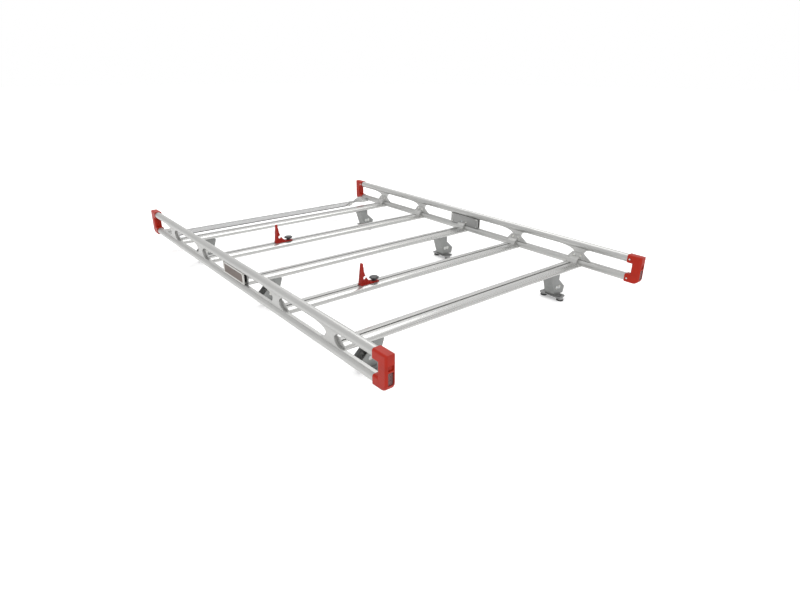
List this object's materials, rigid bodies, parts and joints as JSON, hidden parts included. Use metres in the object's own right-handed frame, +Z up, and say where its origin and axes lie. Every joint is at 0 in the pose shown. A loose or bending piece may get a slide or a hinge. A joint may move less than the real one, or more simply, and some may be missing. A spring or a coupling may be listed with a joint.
{
  "type": "ladder rack",
  "caption": "Van roof ladder rack: twin-tube side rails with long windows, slotted crossbars on bracket feet, end caps, a front wind deflector and sliding load stops.",
  "frame": {"origin": "centre of the rack's footprint, on the plane of the roof pads' undersides", "axes": "+X to the vehicle's right-hand rail, +Y to the vehicle's front where the wind deflector is, +Z up"},
  "size_m": [1.7464, 2.666, 0.3107],
  "materials": {
    "rail_aluminium": "satin anodised extrusion, faint lengthwise drawing lines",
    "crossbar_aluminium": "satin anodised extrusion",
    "cast_fitting": "sand-cast, satin",
    "foot_steel": "dark grey powder coat, semi-matt",
    "foot_base_steel": "darker grey powder coat, semi-matt",
    "pad_rubber": "moulded, matt",
    "collar_plastic": "moulded nylon, matt",
    "cap_plastic": "moulded deep red, semi-gloss",
    "reflector_red": "clear red lens over a prism pattern",
    "nameplate_metal": "satin lacquer",
    "nameplate_dark": "dark brown-grey, fine texture",
    "nameplate_back_metal": "mill finish sheet",
    "bright_steel": "zinc plated",
    "deflector_grey": "grey powder coat",
    "trim_rubber": "extruded edge strip, matt",
    "stop_red": "red powder coat, semi-gloss",
    "knob_black": "moulded nylon, satin"
  },
  "bodies": {
    "root": {"left_rail": "rail_aluminium", "right_rail": "rail_aluminium", "rear_crossbar": "crossbar_aluminium", "second_crossbar": "crossbar_aluminium", "middle_crossbar": "crossbar_aluminium", "fourth_crossbar": "crossbar_aluminium", "front_crossbar": "crossbar_aluminium", "rear_bar_fitting_left": "cast_fitting", "rear_bar_fitting_right": "cast_fitting", "second_bar_fitting_left": "cast_fitting", "second_bar_fitting_right": "cast_fitting", "middle_bar_fitting_left": "cast_fitting", "middle_bar_fitting_right": "cast_fitting", "fourth_bar_fitting_left": "cast_fitting", "fourth_bar_fitting_right": "cast_fitting", "front_bar_fitting_left": "cast_fitting", "front_bar_fitting_right": "cast_fitting", "rear_left_foot_bracket": "foot_steel", "rear_left_foot_base": "foot_base_steel", "rear_right_foot_bracket": "foot_steel", "rear_right_foot_base": "foot_base_steel", "middle_left_foot_bracket": "foot_steel", "middle_left_foot_base": "foot_base_steel", "middle_right_foot_bracket": "foot_steel", "middle_right_foot_base": "foot_base_steel", "front_left_foot_bracket": "foot_steel", "front_left_foot_base": "foot_base_steel", "front_right_foot_bracket": "foot_steel", "front_right_foot_base": "foot_base_steel", "roof_pads": "pad_rubber", "roof_collars": "collar_plastic", "rear_left_end_cap": "cap_plastic", "rear_right_end_cap": "cap_plastic", "front_left_end_cap": "cap_plastic", "front_right_end_cap": "cap_plastic", "left_reflector": "reflector_red", "left_nameplate": "nameplate_metal", "left_nameplate_panel": "nameplate_dark", "left_nameplate_back": "nameplate_back_metal", "left_deflector_arm": "cast_fitting", "right_reflector": "reflector_red", "right_nameplate": "nameplate_metal", "right_nameplate_panel": "nameplate_dark", "right_nameplate_back": "nameplate_back_metal", "right_deflector_arm": "cast_fitting", "cap_screws": "bright_steel", "nameplate_rivets": "bright_steel", "wind_deflector": "deflector_grey", "deflector_edge_trim": "trim_rubber", "fitting_web_bolts": "bright_steel", "crossbar_bolts": "bright_steel", "foot_height_bolts": "bright_steel", "deflector_bolts": "bright_steel", "hex_nuts": "bright_steel"},
    "rear_stop": {"rear_load_stop": "stop_red", "rear_clamp_stud": "bright_steel"},
    "rear_knob": {"rear_clamp_knob": "knob_black"},
    "front_stop": {"front_load_stop": "stop_red", "front_clamp_stud": "bright_steel"},
    "front_knob": {"front_clamp_knob": "knob_black"}
  },
  "joints": [
    {"name": "rear_stop_slide", "type": "slide", "parent": "root", "child": "rear_stop", "axis": [1, 0, 0], "range_m": [-0.422, 1.05]},
    {"name": "rear_knob_turn", "type": "hinge", "parent": "rear_stop", "child": "rear_knob", "pos_m": [-0.279, -0.463, 0.2], "axis": [0, 0, 1], "continuous": true},
    {"name": "front_stop_slide", "type": "slide", "parent": "root", "child": "front_stop", "axis": [1, 0, 0], "range_m": [-0.422, 1.05]},
    {"name": "front_knob_turn", "type": "hinge", "parent": "front_stop", "child": "front_knob", "pos_m": [-0.279, 0.463, 0.2], "axis": [0, 0, 1], "continuous": true}
  ]
}
